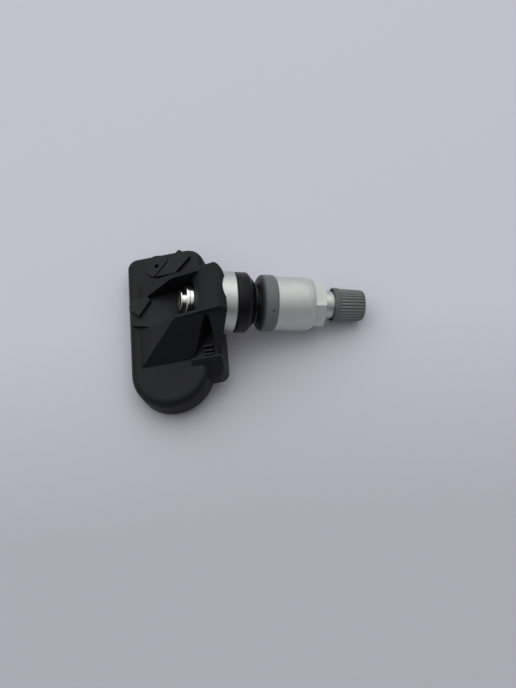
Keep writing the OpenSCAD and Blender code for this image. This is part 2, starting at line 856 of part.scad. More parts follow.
// One groove between two ribs, which follows the grip's taper
module rib_groove() {
    from_r = cap_d / 2 - cap_step - cap_groove;
    to_r = cap_end_d / 2 - cap_groove;
    run = cap_len - cap_skirt;
    translate([from_r, 0, cap_s + cap_skirt]) rotate([0, -atan((from_r - to_r) / run), 0])
        linear_extrude(run + 1) polygon([[0, -0.14], [0, 0.14], [1, 0.5], [1, -0.5]]);
}

housing();
base_cover();
circuit_board();
button_cell();
cell_tab_positive();
cell_tab_negative();
pressure_sensor();
port_gasket();
radio_chip();
crystal();
trigger_coil_core();
trigger_coil_winding();
antenna_loop();
capacitors();
valve_stem();
fixing_screw();
saddle_washer();
rim_grommet();
nut_washer();
collar_nut();
core_body();
core_seal();
core_pin();
core_cup();
core_spring();
cap_seal();
dust_cap();
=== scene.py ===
"""Looks of a clamp-in tyre pressure sensor: finishes, threads, grip ribs, stage and camera."""

import json
import math

import bmesh
import bpy
from bpy.props import FloatProperty, FloatVectorProperty, IntProperty, PointerProperty
from mathutils import Matrix, Vector


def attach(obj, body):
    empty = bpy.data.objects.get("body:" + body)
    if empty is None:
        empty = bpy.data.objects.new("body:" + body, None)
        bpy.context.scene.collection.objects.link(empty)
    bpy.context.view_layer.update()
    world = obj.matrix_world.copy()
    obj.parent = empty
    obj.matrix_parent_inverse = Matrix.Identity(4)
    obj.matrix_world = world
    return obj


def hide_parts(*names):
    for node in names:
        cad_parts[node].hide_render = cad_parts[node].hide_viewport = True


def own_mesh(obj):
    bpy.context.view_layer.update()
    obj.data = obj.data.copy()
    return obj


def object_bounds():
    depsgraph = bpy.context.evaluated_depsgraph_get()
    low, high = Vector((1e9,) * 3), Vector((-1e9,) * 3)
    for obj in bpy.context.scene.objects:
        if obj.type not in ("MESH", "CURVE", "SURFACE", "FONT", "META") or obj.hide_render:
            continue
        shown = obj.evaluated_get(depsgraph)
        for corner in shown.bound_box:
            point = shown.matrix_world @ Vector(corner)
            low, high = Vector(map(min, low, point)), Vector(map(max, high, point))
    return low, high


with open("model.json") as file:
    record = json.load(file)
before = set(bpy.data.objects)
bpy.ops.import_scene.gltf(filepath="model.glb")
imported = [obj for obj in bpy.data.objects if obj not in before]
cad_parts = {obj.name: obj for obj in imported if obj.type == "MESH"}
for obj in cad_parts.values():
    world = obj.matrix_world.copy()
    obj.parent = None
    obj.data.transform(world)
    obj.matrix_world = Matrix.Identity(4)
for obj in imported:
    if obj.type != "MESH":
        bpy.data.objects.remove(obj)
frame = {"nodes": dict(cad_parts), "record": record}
CAD_BOX = [list(corner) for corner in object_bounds()]

bl_info = {
    "name": "Tyre Pressure Sensor",
    "version": (1, 0, 0),
    "blender": (4, 5, 0),
    "location": "View3D > Sidebar > Sensor",
    "description": "Dresses the packed tyre pressure sensor and sets up its studio",
    "category": "Object",
}

# One millimetre, in metres
MM = 0.001
RECORD = frame["record"]
RIM_SEAT = next(mount for mount in RECORD["mounts"] if mount["name"] == "rim_seat")
VALVE_AXIS = Vector(RIM_SEAT["axis"])
VALVE_DIP = math.asin(-VALVE_AXIS.z)
# Turns a piece made along z so that it runs outwards along the valve
ON_VALVE = Matrix.Rotation(math.pi / 2 + VALVE_DIP, 4, "Y")


def valve_points(node):
    """(radius, height) of each vertex of a CAD node along the valve, in metres."""
    turned = ON_VALVE.inverted()
    points = [turned @ v.co for v in frame["nodes"][node].data.vertices]
    return [(math.hypot(p.x, p.y), p.z) for p in points]


def valve_span(node):
    """Start, end and largest radius of a CAD node along the valve, in metres."""
    points = valve_points(node)
    heights = [height for radius, height in points]
    return min(heights), max(heights), max(radius for radius, height in points)


STEM_END = valve_span("valve_stem")[1]
NUT_START, NUT_END, NUT_R = valve_span("collar_nut")
CAP_SOLID_START, CAP_END, CAP_R = valve_span("dust_cap")
# The visible cap leaves a little more of the stem free than the solid one
CAP_START = CAP_SOLID_START + 1.2 * MM
WASHER_START, WASHER_END = valve_span("nut_washer")[:2]
SCREW_START, SCREW_END, HEAD_R = valve_span("fixing_screw")
SHANK_END_RADII = [r for r, h in valve_points("fixing_screw") if h > SCREW_END - 1 * MM]
SHANK_R, BORE_R = max(SHANK_END_RADII), min(SHANK_END_RADII)
# The cap's grip lies this far inside its skirt
RIB_INSET = 0.2 * MM

# Points of a mesh closer than this are one point
CAD_MERGE = 0.002 * MM
OWN_MERGE = 0.001 * MM


class SensorSizes(bpy.types.PropertyGroup):
    """Sizes of the details that the finish adds"""

    case_edge: FloatProperty(
        name="Case edge", description="Width of the softened edges of the moulded case",
        default=0.3 * MM, min=0.02 * MM, max=0.5 * MM, unit="LENGTH")
    metal_edge: FloatProperty(
        name="Metal edge", description="Width of the broken edges of the turned metal pieces",
        default=0.12 * MM, min=0.02 * MM, max=0.3 * MM, unit="LENGTH")
    rubber_edge: FloatProperty(
        name="Rubber edge", description="Width of the softened edges of the grommet and the washer",
        default=0.18 * MM, min=0.02 * MM, max=0.4 * MM, unit="LENGTH")
    rib_count: IntProperty(
        name="Cap ribs", description="Number of grip ribs round the dust cap",
        default=30, min=12, max=48)
    rib_width: FloatProperty(
        name="Rib width", description="Width of one grip rib at its foot",
        default=0.68 * MM, min=0.2 * MM, max=0.8 * MM, unit="LENGTH")
    rib_height: FloatProperty(
        name="Rib height", description="Height of a grip rib over the cap's core",
        default=0.34 * MM, min=0.1 * MM, max=0.5 * MM, unit="LENGTH")
    skirt_height: FloatProperty(
        name="Skirt height", description="Height of the plain ring at the cap's mouth",
        default=1.5 * MM, min=0.5 * MM, max=2 * MM, unit="LENGTH")
    cap_end_radius: FloatProperty(
        name="Cap end radius", description="Radius of the ribbed grip at the cap's outer end",
        default=4.35 * MM, min=4 * MM, max=4.7 * MM, unit="LENGTH")
    thread_pitch: FloatProperty(
        name="Valve thread pitch",
        description="Distance between two turns of the valve's cap thread",
        default=0.794 * MM, min=0.5 * MM, max=1 * MM, unit="LENGTH")
    thread_depth: FloatProperty(
        name="Thread depth", description="Depth of the valve's cap thread",
        default=0.15 * MM, min=0.05 * MM, max=0.45 * MM, unit="LENGTH")


class SensorColours(bpy.types.PropertyGroup):
    """Colours of the finishes"""

    case_black: FloatVectorProperty(
        name="Case", description="Black plastic of the case", subtype="COLOR",
        size=3, default=(0.0052, 0.0055, 0.0064), min=0, max=1)
    aluminium: FloatVectorProperty(
        name="Aluminium", description="Anodised aluminium of valve and nut", subtype="COLOR",
        size=3, default=(0.62, 0.63, 0.60), min=0, max=1)
    rubber: FloatVectorProperty(
        name="Rubber", description="Black rubber of the grommet", subtype="COLOR",
        size=3, default=(0.0035, 0.0035, 0.004), min=0, max=1)
    washer_grey: FloatVectorProperty(
        name="Washer", description="Grey of the nut's washer", subtype="COLOR",
        size=3, default=(0.135, 0.142, 0.142), min=0, max=1)
    cap_grey: FloatVectorProperty(
        name="Dust cap", description="Grey of the dust cap", subtype="COLOR",
        size=3, default=(0.1, 0.105, 0.1), min=0, max=1)
    floor: FloatVectorProperty(
        name="Floor", description="Pale studio floor", subtype="COLOR",
        size=3, default=(0.615, 0.607, 0.662), min=0, max=1)


def sizes():
    """The sizes that the panel shows."""
    return bpy.context.scene.sensor_sizes


def colours():
    """The colours that the panel shows."""
    return bpy.context.scene.sensor_colours


# Materials

def new_material(name):
    """A new material, its node tree and its shader, which is linked to the output."""
    material = bpy.data.materials.new(name)
    material.use_nodes = True
    tree = material.node_tree
    tree.nodes.clear()
    shader = tree.nodes.new("ShaderNodeBsdfPrincipled")
    output = tree.nodes.new("ShaderNodeOutputMaterial")
    tree.links.new(shader.outputs["BSDF"], output.inputs["Surface"])
    return material, tree, shader


def object_coordinates(tree, turn=None):
    """Object coordinates, turned so that z runs along the valve where a turn is given."""
    source = tree.nodes.new("ShaderNodeTexCoord").outputs["Object"]
    if turn is None:
        return source
    mapping = tree.nodes.new("ShaderNodeMapping")
    mapping.vector_type = "POINT"
    mapping.inputs["Rotation"].default_value = turn
    tree.links.new(source, mapping.inputs["Vector"])
    return mapping.outputs["Vector"]


def noise(tree, vector, scale, detail=3.0, roughness=0.55):
    """A noise factor about 0.5, on coordinates in metres."""
    node = tree.nodes.new("ShaderNodeTexNoise")
    node.inputs["Scale"].default_value = scale
    node.inputs["Detail"].default_value = detail
    node.inputs["Roughness"].default_value = roughness
    tree.links.new(vector, node.inputs["Vector"])
    return node.outputs["Fac"]


def ramp(tree, factor, stops):
    """A colour from a factor: stops are (place, colour) in rising order."""
    node = tree.nodes.new("ShaderNodeValToRGB")
    elements = node.color_ramp.elements
    while len(elements) < len(stops):
        elements.new(0.5)
    for element, (place, colour) in zip(elements, stops):
        element.position = place
        element.color = (*colour, 1.0)
    tree.links.new(factor, node.inputs["Fac"])
    return node.outputs["Color"]


def map_range(tree, value, source, target=(0.0, 1.0), smooth=False):
    """Maps a number from the source range to the target range."""
    node = tree.nodes.new("ShaderNodeMapRange")
    if smooth:
        node.interpolation_type = "SMOOTHSTEP"
    node.inputs["From Min"].default_value, node.inputs["From Max"].default_value = source
    node.inputs["To Min"].default_value, node.inputs["To Max"].default_value = target
    tree.links.new(value, node.inputs["Value"])
    return node.outputs["Result"]


def spread(tree, factor, low, high):
    """Maps a 0 to 1 factor to a number between low and high."""
    return map_range(tree, factor, (0.0, 1.0), (low, high))


def along_axis(tree, vector, axis):
    """One coordinate of a vector, by its letter."""
    split = tree.nodes.new("ShaderNodeSeparateXYZ")
    tree.links.new(vector, split.inputs[0])
    return split.outputs[axis]


def relief(tree, height, distance, under=None):
    """The normals of a bumped surface, laid over another relief where one is given."""
    node = tree.nodes.new("ShaderNodeBump")
    node.inputs["Distance"].default_value = distance
    node.inputs["Strength"].default_value = 1.0
    tree.links.new(height, node.inputs["Height"])
    if under is not None:
        tree.links.new(under, node.inputs["Normal"])
    return node.outputs["Normal"]


def bump(tree, shader, height, distance, under=None):
    """Gives the shader a relief of this depth."""
    tree.links.new(relief(tree, height, distance, under), shader.inputs["Normal"])


def tinted(colour, amount):
    """A colour made lighter or darker by a factor."""
    return tuple(min(1.0, max(0.0, channel * amount)) for channel in colour)


def moulded_plastic(name, colour, rough=(0.42, 0.56), grain=5200.0, depth=0.014, specular=0.21):
    """Moulded plastic: a fine even grain, cloudy gloss and a painted highlight that makes the edges
    a little paler.

    The grain is a noise scale per metre and its depth is in millimetres."""
    material, tree, shader = new_material(name)
    place = object_coordinates(tree)
    cloud = noise(tree, place, scale=160.0, detail=4.0)
    tint = ramp(tree, cloud, [(0.3, tinted(colour, 0.86)), (0.72, tinted(colour, 1.16))])
    # Painted highlight: sharp edges, found by their pointiness, are made paler
    edge = tree.nodes.new("ShaderNodeNewGeometry").outputs["Pointiness"]
    edge_highlight_mask = ramp(tree, edge, [(0.505, (0, 0, 0)), (0.6, (1, 1, 1))])
    edge_highlight_colour = tinted(colour, 1.9)
    mix = tree.nodes.new("ShaderNodeMix")
    mix.data_type = "RGBA"
    tree.links.new(edge_highlight_mask, mix.inputs["Factor"])
    tree.links.new(tint, mix.inputs["A"])
    mix.inputs["B"].default_value = (*edge_highlight_colour, 1)
    tree.links.new(mix.outputs["Result"], shader.inputs["Base Color"])
    smear = noise(tree, place, scale=420.0, detail=5.0, roughness=0.65)
    tree.links.new(spread(tree, smear, *rough), shader.inputs["Roughness"])
    shader.inputs["Specular IOR Level"].default_value = specular
    bump(tree, shader, noise(tree, place, scale=grain, detail=2.0), depth * MM)
    return material


def turned_metal(name, colour, rough=(0.36, 0.48), depth=0.0035, metallic=1.0):
    """Turned metal: fine rings round the valve's axis over a satin ground.

    The rings' depth is in millimetres."""
    material, tree, shader = new_material(name)
    turn = ON_VALVE.inverted().to_euler("XYZ")
    along = object_coordinates(tree, turn)
    stretch = tree.nodes.new("ShaderNodeMapping")
    stretch.inputs["Scale"].default_value = (0.05, 0.05, 1.0)
    tree.links.new(along, stretch.inputs["Vector"])
    rings = noise(tree, stretch.outputs["Vector"], scale=5200.0, detail=3.0, roughness=0.6)
    place = object_coordinates(tree)
    cloud = noise(tree, place, scale=380.0, detail=4.0)
    tint = ramp(tree, cloud, [(0.3, tinted(colour, 0.94)), (0.7, tinted(colour, 1.04))])
    tree.links.new(tint, shader.inputs["Base Color"])
    shader.inputs["Metallic"].default_value = metallic
    tree.links.new(spread(tree, rings, *rough), shader.inputs["Roughness"])
    satin = relief(tree, noise(tree, place, scale=9000.0, detail=2.0), 0.002 * MM)
    bump(tree, shader, rings, depth * MM, under=satin)
    return material


def plain_metal(name, colour, rough=(0.2, 0.4), scale=1200.0):
    """Rolled or plated metal with a faint cloudy gloss."""
    material, tree, shader = new_material(name)
    place = object_coordinates(tree)
    cloud = noise(tree, place, scale, detail=4.0)
    tint = ramp(tree, cloud, [(0.35, tinted(colour, 0.9)), (0.65, tinted(colour, 1.05))])
    tree.links.new(tint, shader.inputs["Base Color"])
    shader.inputs["Metallic"].default_value = 1.0
    tree.links.new(spread(tree, cloud, *rough), shader.inputs["Roughness"])
    bump(tree, shader, cloud, 0.004 * MM)
    return material


def smooth_rubber(name, colour):
    """Moulded rubber: dark, a little dusty, with a soft low gloss."""
    material, tree, shader = new_material(name)
    place = object_coordinates(tree)
    dust = noise(tree, place, scale=900.0, detail=6.0, roughness=0.7)
    tint = ramp(tree, dust, [(0.45, colour), (0.78, tinted(colour, 1.8))])
    tree.links.new(tint, shader.inputs["Base Color"])
    tree.links.new(spread(tree, dust, 0.24, 0.4), shader.inputs["Roughness"])
    shader.inputs["Specular IOR Level"].default_value = 0.2
    bump(tree, shader, noise(tree, place, scale=2600.0, detail=3.0), 0.006 * MM)
    return material


def washer_plastic(name, colour):
    """Grey plastic with painted shade that darkens the bevel facing the grommet."""
    material, tree, shader = new_material(name)
    along = object_coordinates(tree, ON_VALVE.inverted().to_euler("XYZ"))
    height = map_range(tree, along_axis(tree, along, "Z"), (WASHER_START, WASHER_END))
    # Painted shade: the colour darkens towards the washer's start, on the bevel that faces the
    # grommet
    tint = ramp(tree, height, [
        (0.1, tinted(colour, 0.15)), (0.24, tinted(colour, 0.6)),
        (0.3, colour), (1.0, tinted(colour, 1.05))])
    tree.links.new(tint, shader.inputs["Base Color"])
    place = object_coordinates(tree)
    cloud = noise(tree, place, scale=700.0, detail=4.0)
    tree.links.new(spread(tree, cloud, 0.34, 0.46), shader.inputs["Roughness"])
    shader.inputs["Specular IOR Level"].default_value = 0.25
    bump(tree, shader, noise(tree, place, scale=6500.0, detail=2.0), 0.006 * MM)
    return material


def solder_mask(name, colour):
    """Green board lacquer with faint tracks under it."""
    material, tree, shader = new_material(name)
    place = object_coordinates(tree)
    tracks = tree.nodes.new("ShaderNodeTexBrick")
    tracks.inputs["Scale"].default_value = 420.0
    tracks.inputs["Color1"].default_value = (*tinted(colour, 1.25), 1)
    tracks.inputs["Color2"].default_value = (*colour, 1)
    tracks.inputs["Mortar"].default_value = (*tinted(colour, 0.75), 1)
    tree.links.new(place, tracks.inputs["Vector"])
    tree.links.new(tracks.outputs["Color"], shader.inputs["Base Color"])
    shader.inputs["Roughness"].default_value = 0.25
    bump(tree, shader, tracks.outputs["Fac"], 0.01 * MM)
    return material


def set_material(obj, material):
    """Gives a piece one material all over."""
    obj.data.materials.clear()
    obj.data.materials.append(material)
    for polygon in obj.data.polygons:
        polygon.material_index = 0


def finish_node(node, material):
    """Gives a CAD node that stays a better material in its own slot."""
    obj = frame["nodes"][node]
    if not obj.material_slots:
        obj.data.materials.append(material)
    for slot in obj.material_slots:
        slot.material = material


# Meshes

def new_object(name, mesh):
    """An object with this mesh, at the origin."""
    obj = bpy.data.objects.new(name, mesh)
    bpy.context.scene.collection.objects.link(obj)
    return obj


def apply_modifiers(obj):
    """Bakes the live modifiers into the mesh and removes them."""
    graph = bpy.context.evaluated_depsgraph_get()
    graph.update()
    baked = bpy.data.meshes.new_from_object(obj.evaluated_get(graph))
    old = obj.data
    obj.modifiers.clear()
    obj.data = baked
    bpy.data.meshes.remove(old)


def shade(obj, angle=32.0):
    """Smooth faces, with sharp edges past an angle."""
    mesh = obj.data
    for polygon in mesh.polygons:
        polygon.use_smooth = True
    mesh.set_sharp_from_angle(angle=math.radians(angle))


def softened(node, name, width, segments=2, angle=34.0, flat_angle=1.2):
    """A merged copy of a CAD node whose sharp edges are rounded over."""
    mesh = frame["nodes"][node].data.copy()
    mesh.materials.clear()
    work = bmesh.new()
    work.from_mesh(mesh)
    bmesh.ops.remove_doubles(work, verts=work.verts, dist=CAD_MERGE)
    bmesh.ops.dissolve_limit(
        work, angle_limit=math.radians(flat_angle), verts=work.verts, edges=work.edges,
        use_dissolve_boundaries=False, delimit=set())
    for face in work.faces:
        face.smooth = True
    work.to_mesh(mesh)
    work.free()
    if mesh.attributes.get("custom_normal"):
        mesh.attributes.remove(mesh.attributes["custom_normal"])
    obj = new_object(name, mesh)
    bevel = obj.modifiers.new("edge", "BEVEL")
    bevel.width = width
    bevel.segments = segments
    bevel.limit_method = "ANGLE"
    bevel.angle_limit = math.radians(angle)
    bevel.use_clamp_overlap = True
    bevel.miter_outer = "MITER_ARC"
    bevel.harden_normals = True
    apply_modifiers(obj)
    obj.data.update()
    return obj


def place_on_valve(mesh):
    """Turns a mesh made along z onto the valve's axis."""
    mesh.transform(ON_VALVE)


def arc(centre_r, centre_h, radius, first, last, steps):
    """Points of an arc in (radius, height), from one angle in degrees to another."""
    points = []
    for k in range(steps + 1):
        turn = math.radians(first + (last - first) * k / steps)
        points.append((centre_r + radius * math.cos(turn), centre_h + radius * math.sin(turn)))
    return points


def lathe(name, profile, sides=96):
    """Turns a closed outline of (radius, height) pairs.

    A third number makes six lobes that deep."""
    work = bmesh.new()
    rings = []
    for radius, height, *lobe in profile:
        ring = []
        for k in range(sides):
            turn = 2 * math.pi * k / sides
            reach = radius + (lobe[0] * math.cos(6 * turn) if lobe else 0)
            ring.append(work.verts.new((reach * math.cos(turn), reach * math.sin(turn), height)))
        rings.append(ring)
    for one, two in zip(rings, rings[1:] + rings[:1]):
        for k in range(sides):
            m = (k + 1) % sides
            work.faces.new((one[k], one[m], two[m], two[k]))
    bmesh.ops.remove_doubles(work, verts=work.verts, dist=OWN_MERGE)
    bmesh.ops.recalc_face_normals(work, faces=work.faces)
    mesh = bpy.data.meshes.new(name)
    work.to_mesh(mesh)
    work.free()
    return mesh


# Geometry node trees

def geometry_tree(name, inputs):
    """A geometry node group with named inputs, its input and output nodes."""
    tree = bpy.data.node_groups.new(name, "GeometryNodeTree")
    tree.interface.new_socket("Geometry", in_out="INPUT", socket_type="NodeSocketGeometry")
    for label, kind, default in inputs:
        socket = tree.interface.new_socket(label, in_out="INPUT", socket_type=kind)
        if default is not None:
            socket.default_value = default
    tree.interface.new_socket("Geometry", in_out="OUTPUT", socket_type="NodeSocketGeometry")
    return tree, tree.nodes.new("NodeGroupInput"), tree.nodes.new("NodeGroupOutput")


def end_tree(tree, geometry, entry, exit_node):
    """Realizes the instances, sets the material and ends the tree."""
    realize = tree.nodes.new("GeometryNodeRealizeInstances")
    finish = tree.nodes.new("GeometryNodeSetMaterial")
    tree.links.new(geometry, realize.inputs[0])
    tree.links.new(realize.outputs[0], finish.inputs["Geometry"])
    tree.links.new(entry.outputs["Material"], finish.inputs["Material"])
    tree.links.new(finish.outputs[0], exit_node.inputs[0])


def run_tree(obj, tree, values):
    """Adds the tree to an object, sets its inputs by identifier and bakes the result."""
    modifier = obj.modifiers.new(tree.name, "NODES")
    modifier.node_group = tree
    for item in tree.interface.items_tree:
        if item.item_type == "SOCKET" and item.in_out == "INPUT" and item.name in values:
            modifier[item.identifier] = values[item.name]
    apply_modifiers(obj)


def math_node(tree, operation, first, second):
    """A calculation with two values, each a number or a socket."""
    node = tree.nodes.new("ShaderNodeMath")
    node.operation = operation
    for socket, value in zip(node.inputs, (first, second)):
        if isinstance(value, (int, float)):
            socket.default_value = value
        else:
            tree.links.new(value, socket)
    return node.outputs[0]


def rib_tree():
    """Copies one rib, the modifier's own mesh, round the z axis."""
    tree, entry, exit_node = geometry_tree("grip_ribs", [
        ("Ribs", "NodeSocketInt", 30), ("Material", "NodeSocketMaterial", None)])
    points = tree.nodes.new("GeometryNodePoints")
    tree.links.new(entry.outputs["Ribs"], points.inputs["Count"])
    index = tree.nodes.new("GeometryNodeInputIndex").outputs[0]
    step = math_node(tree, "DIVIDE", 2 * math.pi, entry.outputs["Ribs"])
    turn = math_node(tree, "MULTIPLY", index, step)
    euler = tree.nodes.new("ShaderNodeCombineXYZ")
    tree.links.new(turn, euler.inputs["Z"])
    copies = tree.nodes.new("GeometryNodeInstanceOnPoints")
    tree.links.new(points.outputs[0], copies.inputs["Points"])
    tree.links.new(entry.outputs["Geometry"], copies.inputs["Instance"])
    tree.links.new(euler.outputs[0], copies.inputs["Rotation"])
    end_tree(tree, copies.outputs[0], entry, exit_node)
    return tree


def thread_tree():
    """Sweeps a six-sided ridge along a helix round the z axis."""
    tree, entry, exit_node = geometry_tree("thread", [
        ("Radius", "NodeSocketFloat", 3.5 * MM), ("Height", "NodeSocketFloat", 10 * MM),
        ("Pitch", "NodeSocketFloat", 0.8 * MM), ("Depth", "NodeSocketFloat", 0.3 * MM),
        ("Material", "NodeSocketMaterial", None)])
    turns = math_node(tree, "DIVIDE", entry.outputs["Height"], entry.outputs["Pitch"])
    helix = tree.nodes.new("GeometryNodeCurveSpiral")
    helix.inputs["Resolution"].default_value = 40
    tree.links.new(turns, helix.inputs["Rotations"])
    tree.links.new(entry.outputs["Radius"], helix.inputs["Start Radius"])
    tree.links.new(entry.outputs["Radius"], helix.inputs["End Radius"])
    tree.links.new(entry.outputs["Height"], helix.inputs["Height"])
    ridge = tree.nodes.new("GeometryNodeCurvePrimitiveCircle")
    ridge.mode = "RADIUS"
    ridge.inputs["Resolution"].default_value = 6
    tree.links.new(entry.outputs["Depth"], ridge.inputs["Radius"])
    sweep = tree.nodes.new("GeometryNodeCurveToMesh")
    sweep.inputs["Fill Caps"].default_value = True
    tree.links.new(helix.outputs[0], sweep.inputs["Curve"])
    tree.links.new(ridge.outputs[0], sweep.inputs["Profile Curve"])
    end_tree(tree, sweep.outputs[0], entry, exit_node)
    return tree


# Pieces

def dress(node, name, body, slot, material, width, **how):
    """Replaces a CAD node by its softened copy."""
    piece = softened(node, name, width, **how)
    set_material(piece, material)
    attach(piece, body)
    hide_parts(node)
    return piece


class SENSOR_OT_case(bpy.types.Operator):
    """Dress the moulded case and its cover"""

    bl_idname = "sensor.case"
    bl_label = "Case"

    def execute(self, context):
        black = moulded_plastic("case black", colours().case_black)
        dress("housing", "moulded_case", "case", "case_plastic", black, sizes().case_edge)
        cover = moulded_plastic("cover black", tinted(colours().case_black, 1.25),
                                rough=(0.38, 0.5), grain=3800.0, depth=0.008)
        cover_edge = 0.08 * MM
        dress("base_cover", "welded_cover", "case", "cover_plastic", cover, cover_edge, segments=1)
        return {"FINISHED"}


class SENSOR_OT_electronics(bpy.types.Operator):
    """Finish the board, the cell and the parts on the board"""

    bl_idname = "sensor.electronics"
    bl_label = "Electronics"

    def execute(self, context):
        steel = plain_metal("cell steel", (0.62, 0.62, 0.61))
        nickel = plain_metal("tab nickel", (0.66, 0.63, 0.56), rough=(0.25, 0.4))
        chip = moulded_plastic("chip black", (0.03, 0.03, 0.033), rough=(0.5, 0.65))
        lacquer = solder_mask("board lacquer", (0.02, 0.13, 0.06))
        gasket = smooth_rubber("gasket rubber", (0.03, 0.03, 0.032))
        ferrite = moulded_plastic("ferrite", (0.05, 0.05, 0.055), rough=(0.55, 0.7))
        copper = plain_metal("enamelled copper", (0.6, 0.22, 0.08), scale=5000.0)
        ceramic = moulded_plastic("ceramic body", (0.42, 0.28, 0.15), rough=(0.3, 0.4))
        finishes = {
            "circuit_board": lacquer,
            "button_cell": steel,
            "cell_tab_positive": nickel,
            "cell_tab_negative": nickel,
            "antenna_loop": nickel,
            "pressure_sensor": chip,
            "radio_chip": chip,
            "crystal": steel,
            "port_gasket": gasket,
            "trigger_coil_core": ferrite,
            "trigger_coil_winding": copper,
            "capacitors": ceramic,
        }
        for node, material in finishes.items():
            finish_node(node, material)
        return {"FINISHED"}


def screw_outline():
    """The fixing screw: a thin end ring, a groove, the broad head and the bored shank."""
    low = SCREW_START
    groove, face = low + 0.6 * MM, low + 1.4 * MM
    seat, recess = face + 1.0 * MM, low + 2.2 * MM
    ring_r, groove_r, socket_r, lobe = 2.9 * MM, 2.2 * MM, 1.6 * MM, 0.22 * MM
    ring_round, rim_round, seat_round, end_chamfer = 0.2 * MM, 0.3 * MM, 0.15 * MM, 0.3 * MM
    outline = [(socket_r, low, lobe), (ring_r - 0.25 * MM, low)]
    outline += arc(ring_r - ring_round, low + ring_round, ring_round, -60, 60, 4)
    outline += [(groove_r, groove), (groove_r, face - 0.1 * MM), (groove_r + 0.1 * MM, face)]
    outline += arc(HEAD_R - rim_round, face + rim_round, rim_round, -90, 0, 5)
    outline += arc(HEAD_R - seat_round, seat - seat_round, seat_round, 0, 90, 3)
    outline += [(SHANK_R, seat), (SHANK_R, SCREW_END - end_chamfer)]
    outline += [(SHANK_R - end_chamfer, SCREW_END), (BORE_R, SCREW_END)]
    outline += [(BORE_R, recess), (socket_r, recess, lobe)]
    return outline


def hexagon_nut():
    """The collar nut: a full shoulder that the six flats of its hexagon are cut into."""
    bore, bar, flat = 4.4 * MM, 7.03 * MM, 6.0 * MM
    chamfer, hex_start = 0.45 * MM, NUT_END - 3.4 * MM
    foot_chamfer, countersink = 0.25 * MM, 0.6 * MM
    # The shoulder is part of an ellipse
    drop, rise, shoulder = 1.0 * MM, 3.233 * MM, hex_start - 2.8 * MM
    steps, step = 8, math.radians(7.5)
    outline = [(bore, NUT_START), (NUT_R - foot_chamfer, NUT_START)]
    outline += [(NUT_R, NUT_START + foot_chamfer)]
    for k in range(steps + 1):
        turn = step * k
        outline += [(NUT_R - drop * (1 - math.cos(turn)), shoulder + rise * math.sin(turn))]
    outline += [(bar, hex_start), (bar, NUT_END - chamfer), (flat - 0.02 * MM, NUT_END)]
    outline += [(bore + 0.54 * MM, NUT_END), (bore, NUT_END - countersink)]
    mesh = lathe("hexagon_nut", outline)
    close = 0.01 * MM
    for vertex in mesh.vertices:
        point = vertex.co
        radius = math.hypot(point.x, point.y)
        if radius > bar - close and point.z > hex_start - close:
            # Angle from the middle of the nearest flat, and the flat's distance there
            side = (math.degrees(math.atan2(point.y, point.x)) + 30) % 60 - 30
            reach = flat / math.cos(math.radians(side))
            if point.z > hex_start + 1 * MM:
                point.z += chamfer * (bar - reach) / (bar - flat)
            point.x *= reach / radius
            point.y *= reach / radius
    return mesh


class SENSOR_OT_valve(bpy.types.Operator):
    """Dress the valve stem, its nut and the fixing screw"""

    bl_idname = "sensor.valve"
    bl_label = "Valve and nut"

    def execute(self, context):
        satin = turned_metal("satin aluminium", tinted(colours().aluminium, 0.94))
        dress("valve_stem", "turned_stem", "valve", "valve_aluminium", satin, sizes().metal_edge)
        matt = turned_metal("matt aluminium", tinted(colours().aluminium, 0.97),
                            rough=(0.52, 0.62), metallic=0.8)
        nut = new_object("turned_nut", hexagon_nut())
        place_on_valve(nut.data)
        shade(nut, angle=24)
        set_material(nut, matt)
        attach(nut, "nut")
        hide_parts("collar_nut")
        bright = turned_metal("bright screw", (0.86, 0.85, 0.82), rough=(0.16, 0.26), depth=0.001)
        screw = new_object("bright_screw", lathe("bright_screw", screw_outline()))
        place_on_valve(screw.data)
        shade(screw)
        set_material(screw, bright)
        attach(screw, "valve")
        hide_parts("fixing_screw")
        washer_edge = 0.06 * MM
        dress("saddle_washer", "bright_washer", "valve", "screw_steel", bright, washer_edge)
        thread = new_object("stem_thread", bpy.data.meshes.new("stem_thread"))
        thread_r = 3.77 * MM
        start, end = CAP_START + 0.6 * MM, STEM_END - 1.2 * MM
        run_tree(thread, thread_tree(), {
            "Radius": thread_r, "Height": end - start, "Pitch": sizes().thread_pitch,
            "Depth": sizes().thread_depth, "Material": satin})
        thread.data.transform(Matrix.Translation((0, 0, start)))
        place_on_valve(thread.data)
        shade(thread)
        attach(thread, "valve")
        return {"FINISHED"}


class SENSOR_OT_core(bpy.types.Operator):
    """Finish the valve core in the stem's tip"""

    bl_idname = "sensor.core"
    bl_label = "Valve core"

    def execute(self, context):
        brass = turned_metal("turned brass", (0.74, 0.53, 0.24), rough=(0.2, 0.32))
        spring = plain_metal("spring wire", (0.6, 0.6, 0.6))
        for node in ("core_body", "core_pin", "core_cup"):
            finish_node(node, brass)
        coil = new_object("spring_coil", frame["nodes"]["core_spring"].data.copy())
        set_material(coil, spring)
        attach(coil, "valve")
        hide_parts("core_spring")
        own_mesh(coil)
        white = moulded_plastic("seal white", (0.72, 0.72, 0.68), rough=(0.3, 0.4))
        finish_node("core_seal", white)
        return {"FINISHED"}


